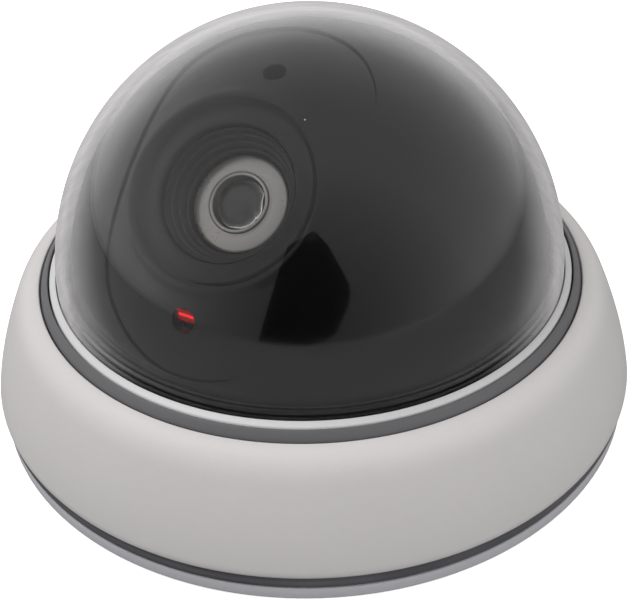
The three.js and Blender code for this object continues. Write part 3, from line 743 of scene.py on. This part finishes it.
def innerLiner():
    height = (0.0, dome["centre"])
    outline = [(liner["inner"], liner["bottom"])] + arc(liner["inner"], 0, 90, liner["steps"], height)
    outline += arc(liner["outer"], 90, 0, liner["steps"], height) + [(liner["outer"], liner["bottom"])]
    ends, middle = slotCutter()
    shape = cutFrom(spun(outline, 224), middle, *ends)
    thing = piece("liner_shell", shape, "linerBlack", "pan_unit", ["inner_liner"], panPlace)
    sphereNormals(thing, tiltCentre, (liner["outer"], liner["inner"]))
    return thing


innerLiner()


# lens head, in the lens frame: +Z out through the lens, +X along the tilt axis

band = {"outer": 44.62, "inner": 42.5, "half": 21.0, "low": -60.9, "high": 65.6, "steps": 120}
rim = {"outline": [(12.0, 31.0), (13.4, 31.0), (13.4, 37.9), (16.2, 39.1), (18.9, 39.9), (18.9, 40.3)]
       + sweep([(18.9, 40.42), (18.4, 40.66), (17.9, 40.95), (17.3, 41.3)], 10)
       + sweep([(17.3, 41.3), (16.6, 41.7), (16.2, 41.25), (15.5, 40.6)], 14)[1:]
       + sweep([(15.5, 40.6), (14.9, 40.05), (14.4, 39.9), (13.8, 39.95)], 8)[1:]
       + [(12.9, 40.05)] + sweep([(12.7, 40.07), (12.25, 40.1), (12.05, 39.9), (12.0, 39.5)], 6)}
hole = {"ledAngle": 29.6, "led": 2.2, "spareAngle": 29.5, "spare": 2.0}
axle = {"radius": 4.5, "end": 36.1, "cheek": 19.4, "bore": 1.5, "depth": 7}


def leaning(degrees):    # +Z tipped away from the lens axis, upwards if positive
    return Matrix.Rotation(-math.radians(degrees), 4, "X")


def alongX(shape, side=1):
    return placed(shape, Matrix.Rotation(side * math.pi / 2, 4, "Y"))


def bandStrip():
    half = math.degrees(math.asin(band["half"] / band["outer"]))
    strip = bmesh.new()
    points = [(r * mm, -0.0, x * mm) for x, r in
              [(band["outer"] * math.sin(math.radians(t)), band["outer"] * math.cos(math.radians(t)))
               for t in [half * (i / 20 - 1) for i in range(41)]]]
    corners = [strip.verts.new((z, 0, r)) for r, _, z in points]
    inner = [strip.verts.new((x * mm, 0, math.sqrt(band["inner"] ** 2 - x ** 2) * mm))
             for x in [band["half"] * (1 - i / 10) for i in range(21)]]
    loop = corners + inner
    edges = [strip.edges.new(pair) for pair in zip(loop, loop[1:] + loop[:1])]
    bmesh.ops.contextual_create(strip, geom=edges)
    bmesh.ops.rotate(strip, cent=(0, 0, 0), matrix=Matrix.Rotation(-math.radians(band["low"]), 3, "X"),
                     verts=strip.verts)
    turn = math.radians(band["high"] - band["low"])
    faces = strip.faces[:]
    made = bmesh.ops.spin(strip, geom=faces + strip.edges[:] + strip.verts[:], cent=(0, 0, 0),
                          axis=(-1, 0, 0),
                          angle=turn, steps=band["steps"])
    bmesh.ops.remove_doubles(strip, verts=strip.verts, dist=1e-7)
    bmesh.ops.recalc_face_normals(strip, faces=strip.faces)
    return strip


def lensCarrier():
    opening = spun([(0, 20), (12.4, 20), (12.4, 39.4), (18.8, 40.0), (18.8, 48), (0, 48)], 128, closed=False)
    strip = cutFrom(bandStrip(), opening, placed(post(hole["led"], 35, 48, 48), leaning(-hole["ledAngle"])),
                    placed(post(hole["spare"], 35, 48, 48), leaning(hole["spareAngle"])))
    ring = spun(rim["outline"], 128)
    hubs = [alongX(post(axle["radius"], axle["cheek"], axle["end"]), side) for side in (-1, 1)]
    posts = [post(2.2, 27.3, 37.4, 32, at=(side * 11.5, 16.5)) for side in (-1, 1)]
    cheeks = []
    for side in (-1, 1):
        low, high = sorted((side * axle["cheek"], side * band["half"]))
        fan = [placed(slab((low, -0.8, 0), (high, 0.8, 37.8)), leaning(a)) for a in (-19, 0, 19)]
        cheeks.append(hullOf(*fan, alongX(post(axle["radius"], axle["cheek"], band["half"]), side)))
    shape = joinedTo(strip, ring, *cheeks, *hubs, *posts)
    bores = [alongX(post(axle["bore"], axle["end"] - axle["depth"], axle["end"] + 1, 24),
                    side) for side in (-1, 1)]
    shape = cutFrom(shape, *bores)
    thing = piece("lens_carrier_shell", shape, "carrierBlack", "lens_head", ["lens_carrier"],
                  lensPlace)
    sphereNormals(thing, tiltCentre, (band["outer"], band["inner"]))
    return thing


funnel = {"radius": 11.75, "back": 30.1, "top": 39.1, "floor": 32.1, "first": 11.4, "stepIn": 0.8,
          "stepDown": 1.35,
          "steps": 3, "round": 0.34}


def lensFunnel():
    stairs = []
    for i in range(funnel["steps"]):
        r, z = funnel["first"] - i * funnel["stepIn"], funnel["top"] - i * funnel["stepDown"]
        stairs += [(r, z), (r - 0.15, z - funnel["stepDown"])]
    last = funnel["first"] - funnel["steps"] * funnel["stepIn"]
    outline = [(0, funnel["back"]), (funnel["radius"], funnel["back"]),
               (funnel["radius"], funnel["top"])] + stairs
    outline += [(last, funnel["top"] - funnel["steps"] * funnel["stepDown"]), (last - 0.1, funnel["floor"]),
                (0, funnel["floor"])]
    shape = softened(spun(outline, 144, closed=False), funnel["round"], 25, 4)
    return piece("lens_funnel_cup", shape, "funnelBlack", "lens_head", ["lens_funnel"],
                 lensPlace)


ring = {"outline": [(4.45, 32.35), (8.5, 32.35), (8.62, 34.05), (8.4, 34.25)]
        + sweep([(8.4, 34.25), (7.4, 34.5), (6.4, 34.55), (5.9, 34.5)], 8)[1:]
        + arc(0.42, 150, -60, 10, (5.05, 34.7))}


def reflectorRing():
    return piece("reflector_cup", softened(spun(ring["outline"], 128), 0.08, 40, 2), "satinSilver",
                 "lens_head",
                 ["reflector_ring"], lensPlace)


def lensBead():
    outline = [(0, 32.45), (4.1, 32.45), (4.35, 32.7), (4.35, 33.6)]
    outline += [(4.35 * math.cos(t),
                 33.6 + 2.9 * math.sin(t)) for t in [math.pi / 2 * i / 24 for i in range(1, 24)]]
    outline += [(0, 36.5)]
    return piece("bead_lens", spun(outline, 96, closed=False), "beadAcrylic", "lens_head", ["lens_bead"],
                 lensPlace)


lamp = {"radius": 0.9, "flange": 1.2, "flangeLength": 0.7, "length": 4.1, "legHalf": 0.2, "legSpread": 0.5}


def indicatorLed():    # lies along the tilt axis behind its hole
    local = [lensPlace.inverted() @ point / mm for point in nodePoints("indicator_led")]
    tip = max(point.x for point in local)
    nose = averageOf([point for point in local if point.x > tip - 0.2])
    back, bend = tip - lamp["length"], min(point.x for point in local)
    foot = min(point.z for point in local)
    outline = [(0, 0), (lamp["flange"], 0), (lamp["flange"], lamp["flangeLength"]),
               (lamp["radius"], lamp["flangeLength"])]
    outline += arc(lamp["radius"], 0, 90, 10, (0, lamp["length"] - lamp["radius"]))
    body = alongX(softened(spun(outline, 48, closed=False), 0.08, 40, 2))
    placed(body, Matrix.Translation(Vector((back, nose.y, nose.z)) * mm))
    legs = []
    for side in (-1, 1):
        y, half = nose.y + side * lamp["legSpread"], lamp["legHalf"]
        legs += [slab((bend, y - half, nose.z - half), (back - 0.02, y + half, nose.z + half), 0.05, 1),
                 slab((bend, y - half, foot), (bend + 2 * half, y + half, nose.z - half), 0.05, 1)]
    piece("lamp_body", body, "ledEpoxy", "lens_head", ["indicator_led"], lensPlace)
    piece("lamp_legs", merged(*legs), "zincSteel", "lens_head", ["indicator_led"], lensPlace)


lensCarrier()
lensFunnel()
reflectorRing()
lensBead()
indicatorLed()
print("lens head made")


# fasteners, cells, springs and wires

def crossScrew(name, node, axis, body, size):
    place, length = seatOf(node, axis)
    head = size["headHigh"]
    outline = [(0, 0), (size["shank"] * 0.4, 0), (size["shank"], size["shank"]),
               (size["shank"], length - head),
               (size["head"], length - head), (size["head"], length - head * 0.55)]
    outline += sweep([(size["head"], length - head * 0.55), (size["head"] * 0.85, length - head * 0.1),
                      (size["head"] * 0.5, length), (0, length)], 6)[1:]
    shape = softened(spun(outline, 36, closed=False), 0.06, 40, 2)
    reach, wide = size["head"] * 0.55, size["head"] * 0.13
    cross = [slab((-reach, -wide, length - head * 0.6), (reach, wide, length + 1)),
             slab((-wide, -reach, length - head * 0.6), (wide, reach, length + 1))]
    shape = cutFrom(shape, *cross)
    return piece(name, shape, "zincSteel", body, [node], place)


up = Vector((0, 0, 1))
for number in (1, 2, 3):
    crossScrew(f"clip_screw_head_{number}", f"clip_screw_{number}", up, "base",
               {"head": 2.6, "shank": 1.1, "headHigh": 1.4})
for number in (1, 2):
    crossScrew(f"tray_screw_head_{number}", f"tray_screw_{number}", up, "base",
               {"head": 2.1, "shank": 1.1, "headHigh": 1.1})
    crossScrew(f"board_screw_head_{number}", f"board_screw_{number}", -lensAxis, "lens_head",
               {"head": 2.3, "shank": 0.8, "headHigh": 1.2})
for number in (1, 2, 3, 4):
    crossScrew(f"yoke_screw_head_{number}", f"yoke_screw_{number}", up, "pan_unit",
               {"head": 1.3, "shank": 0.6, "headHigh": 0.9})
for word, side in (("left", -1), ("right", 1)):
    crossScrew(f"tilt_screw_head_{word}", f"tilt_screw_{word}", side * tiltAxis, "pan_unit",
               {"head": 2.8, "shank": 1.2, "headHigh": 1.5})


def batteryCell(number, side):
    place, length = seatOf(f"battery_{number}", Vector((side, 0, 0)))
    outline = [(0, 0.35), (3.3, 0.35), (3.7, 0.05), (4.6, 0.05), (5.05, 0.3), (5.25, 0.8),
               (5.25, length - 1.9),
               (5.05, length - 1.3), (4.5, length - 1.05), (2.2, length - 1.0), (1.9, length - 0.8),
               (1.9, length - 0.25),
               (1.7, length), (0, length)]
    piece(f"cell_{number}", softened(spun(outline, 64, closed=False), 0.08, 30, 2), "cellWrap", "base",
          [f"battery_{number}"],
          place)


batteryCell(1, 1)
batteryCell(2, -1)


def wireAlong(name, points, radius, finish, body, nodes,
              sides=10):    # a round section drawn along points
    curve = bpy.data.curves.new(name, "CURVE")
    curve.dimensions, curve.use_fill_caps = "3D", True
    curve.bevel_depth, curve.bevel_resolution = radius * mm, sides // 4 + 1
    line = curve.splines.new("NURBS")
    line.points.add(len(points) - 1)
    for spot, point in zip(line.points, points):
        spot.co = (*point, 1)
    line.order_u, line.use_endpoint_u, line.resolution_u = 4, True, 6
    drawn = bpy.data.objects.new(name + "_line", curve)
    bpy.context.scene.collection.objects.link(drawn)
    bpy.context.view_layer.update()
    shape = bmesh.new()
    shape.from_mesh(drawn.evaluated_get(bpy.context.evaluated_depsgraph_get()).to_mesh())
    bpy.data.objects.remove(drawn)
    bmesh.ops.remove_doubles(shape, verts=shape.verts, dist=1e-7)
    bmesh.ops.recalc_face_normals(shape, faces=shape.faces)
    return piece(name, shape, finish, body, nodes)


def contactSpring(number, side):    # a cone spring: wide at the plate, narrow at the cell
    low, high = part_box(f"contact_spring_{number}")
    centre, length = (low + high) / 2, (high.x - low.x) / mm - 0.9
    turns, wide, narrow = 4.5, 2.6, 1.7
    points = []
    for i in range(int(turns * 16) + 1):
        share = i / (turns * 16)
        radius = wide + (narrow - wide) * share
        offset = Vector((side * (share - 0.5) * length, radius * math.cos(turns * fullTurn * share),
                         radius * math.sin(turns * fullTurn * share)))
        points.append(centre + offset * mm)
    wireAlong(f"spring_{number}", points, 0.38, "nickelSpring", "base", [f"contact_spring_{number}"])


contactSpring(1, 1)
contactSpring(2, -1)


def leadBetween(node, stations, finish, body):    # follows the middle of the lead at even steps
    points = nodePoints(node)
    along = [averageOf([p for p in points if low <= rank(p) <= high]) for low, high, rank in stations(points)]
    wireAlong(node + "_wire", along, 0.52, finish, body, [node])


def sections(points, direction, count=9):
    reach = sorted(point.dot(direction) for point in points)
    low, high = reach[0], reach[-1]
    width = (high - low) / (count * 1.6)
    return [(low + (high - low) * i / (count - 1) - width, low + (high - low) * i / (count - 1) + width,
             lambda point: point.dot(direction)) for i in range(count)]


for colour, finish in (("red", "wireRed"), ("black", "wireBlack")):
    leadBetween(f"board_lead_{colour}", lambda points: sections(points, lensAxis, 7), finish, "lens_head")
print("fasteners, cells, springs and leads made")


# CAD nodes that stay: edges are rounded and each gets its finish

kept = {
    "turntable_clip_1": "mattBlack", "turntable_clip_2": "mattBlack", "turntable_clip_3": "mattBlack",
    "battery_tray": "mattBlack", "bridge_contact": "nickelSpring", "negative_contact": "nickelSpring",
    "positive_contact": "nickelSpring", "battery_door": "baseGrey", "door_hinge_pin": "zincSteel",
    "switch_body": "mattBlack", "switch_knob": "switchWhite", "turntable": "mattBlack",
    "yoke_arm_left": "mattBlack",
    "yoke_arm_right": "mattBlack", "flasher_board": "boardGreen", "flasher_chip": "mattBlack",
    "timing_capacitor": "capacitorSleeve", "resistor": "resistorTan", "battery_lead_red": "wireRed",
    "battery_lead_black": "wireBlack",
}
for node, finish in kept.items():
    thing = frame["nodes"][node]
    thing.data.materials.clear()
    thing.data.materials.append(finishes[finish])
    weld = thing.modifiers.new("weld", "WELD")
    weld.merge_threshold = 1e-6
    addBevel(thing, 0.08 if "contact" in node else 0.2, 50)
print("kept nodes finished:", len(kept))


# stage, light and camera

stage = {"floorHalf": 0.9, "floorShade": 0.32, "above": 0.4, "sides": 0.5, "front": 0.15, "left": 0.14,
         "behind": 0.1,
         "key": 5.9, "fill": 3.2,
         "cameraAt": (0.0, -231.56, 191.51), "aimAt": (0.43, 0.0, 18.73), "roll": -1.858, "lens": 85.17}


# 1 where the backdrop is seen itself, also through clear plastic, and not in a gloss
def directView(finish):
    path = finish.node("ShaderNodeLightPath")
    bounced = path["Glossy Depth"] + path["Diffuse Depth"]
    return 1 - finish.ranged(bounced, 0.0, 1.0)


def studioFloor():
    shape = bmesh.new()
    bmesh.ops.create_grid(shape, x_segments=2, y_segments=2, size=stage["floorHalf"])
    bmesh.ops.translate(shape, vec=(0, 0, -0.0001), verts=shape.verts)
    mesh = bpy.data.meshes.new("studio_floor")
    shape.to_mesh(mesh)
    shape.free()
    floor = bpy.data.objects.new("studio_floor", mesh)
    bpy.context.scene.collection.objects.link(floor)
    finish = Finish("paleFloor")
    seen = directView(finish)
    bright = finish.principled({"Base Color": (0.97, 0.97, 0.97, 1), "Roughness": 0.9,
                                "Specular IOR Level": 0.0,
                                "Emission Color": (1, 1, 1, 1), "Emission Strength": 0.8})
    plain = finish.principled({"Base Color": (stage["floorShade"],) * 3 + (1,), "Roughness": 0.9,
                               "Specular IOR Level": 0.0})
    mesh.materials.append(finish.finished(finish.node("ShaderNodeMixShader", {},
                                                      {0: seen, 1: plain, 2: bright})["Shader"]))


def studioSky():
    world = bpy.data.worlds.new("studio")
    world.use_nodes = True
    bpy.context.scene.world = world
    sky = Finish("studio", world.node_tree)
    direction = sky.node("ShaderNodeTexCoord")["Generated"]
    x, y, z = sky.parts(direction)
    high = sky.ranged(z, 0.0, 0.8)
    ahead = sky.ranged(-1 * y, 0.25, 1.0)    # it is darker in front, where the room is
    level = stage["sides"] + high * (stage["above"] - stage["sides"]) + sky.ranged(-1 * x, 0.0,
                                                                                   1.0) * stage["left"]
    level = level * (1 - ahead) + ahead * stage["front"] + sky.ranged(y, 0.3, 1.0) * stage["behind"]
    seen = directView(sky)
    strength = level * (1 - seen) + seen
    light = sky.node("ShaderNodeBackground", {}, {"Color": (1, 1, 1, 1), "Strength": strength})["Background"]
    sky.node("ShaderNodeOutputWorld", {}, {"Surface": light})


flag = {"distance": 800, "outline": [(-315, 1), (-165, 700), (-60, 770), (25, 850), (60, 830), (140, 690),
                                     (250, 355),
                                     (240, 280), (210, 205), (128, 60), (60, 20), (-20, 1)]}


def darkFlag():    # a black card in front, which the dome shows as a dark wedge
    shape = bmesh.new()
    corners = [shape.verts.new((x * mm, -flag["distance"] * mm, z * mm)) for x, z in flag["outline"]]
    bmesh.ops.contextual_create(shape,
                                geom=[shape.edges.new(pair) for pair in zip(corners,
                                                                            corners[1:] + corners[:1])])
    mesh = bpy.data.meshes.new("dark_flag")
    shape.to_mesh(mesh)
    shape.free()
    card = bpy.data.objects.new("dark_flag", mesh)
    bpy.context.scene.collection.objects.link(card)
    finish = Finish("flagBlack")
    mesh.materials.append(finish.finished(finish.principled({"Base Color": (0.02, 0.02, 0.02, 1),
                                                             "Roughness": 0.9})))
    card.visible_camera = False
    card.visible_shadow = False


def softbox(name, at, size, power):
    lamp = bpy.data.lights.new(name, "AREA")
    lamp.shape, lamp.size, lamp.size_y, lamp.energy = "RECTANGLE", size[0], size[1], power
    thing = bpy.data.objects.new(name, lamp)
    thing.location = at
    thing.rotation_euler = (Vector((0, 0, 0.03)) - Vector(at)).to_track_quat("-Z", "Y").to_euler()
    thing.visible_camera = thing.visible_glossy = thing.visible_transmission = False
    bpy.context.scene.collection.objects.link(thing)


def studioCamera():
    at, aim = Vector(stage["cameraAt"]) * mm, Vector(stage["aimAt"]) * mm
    forward = (aim - at).normalized()
    right = forward.cross(up).normalized()
    level = right.cross(forward)
    roll = math.radians(stage["roll"])
    across = right * math.cos(roll) + level * math.sin(roll)
    rise = level * math.cos(roll) - right * math.sin(roll)
    view = bpy.data.cameras.new("studio_camera")
    view.lens, view.sensor_width, view.clip_start, view.clip_end = stage["lens"], 36.0, 0.005, 20
    thing = bpy.data.objects.new("studio_camera", view)
    thing.matrix_world = Matrix.Translation(at) @ Matrix((across, rise, -forward)).transposed().to_4x4()
    bpy.context.scene.collection.objects.link(thing)
    bpy.context.scene.camera = thing


studioFloor()
studioSky()
darkFlag()
softbox("key_light", (-0.5, -0.1, 0.9), (0.8, 0.8), stage["key"])
softbox("fill_light", (0.7, -0.6, 0.45), (0.8, 0.8), stage["fill"])
studioCamera()
bpy.context.scene.view_settings.view_transform = "Standard"
print("stage set")
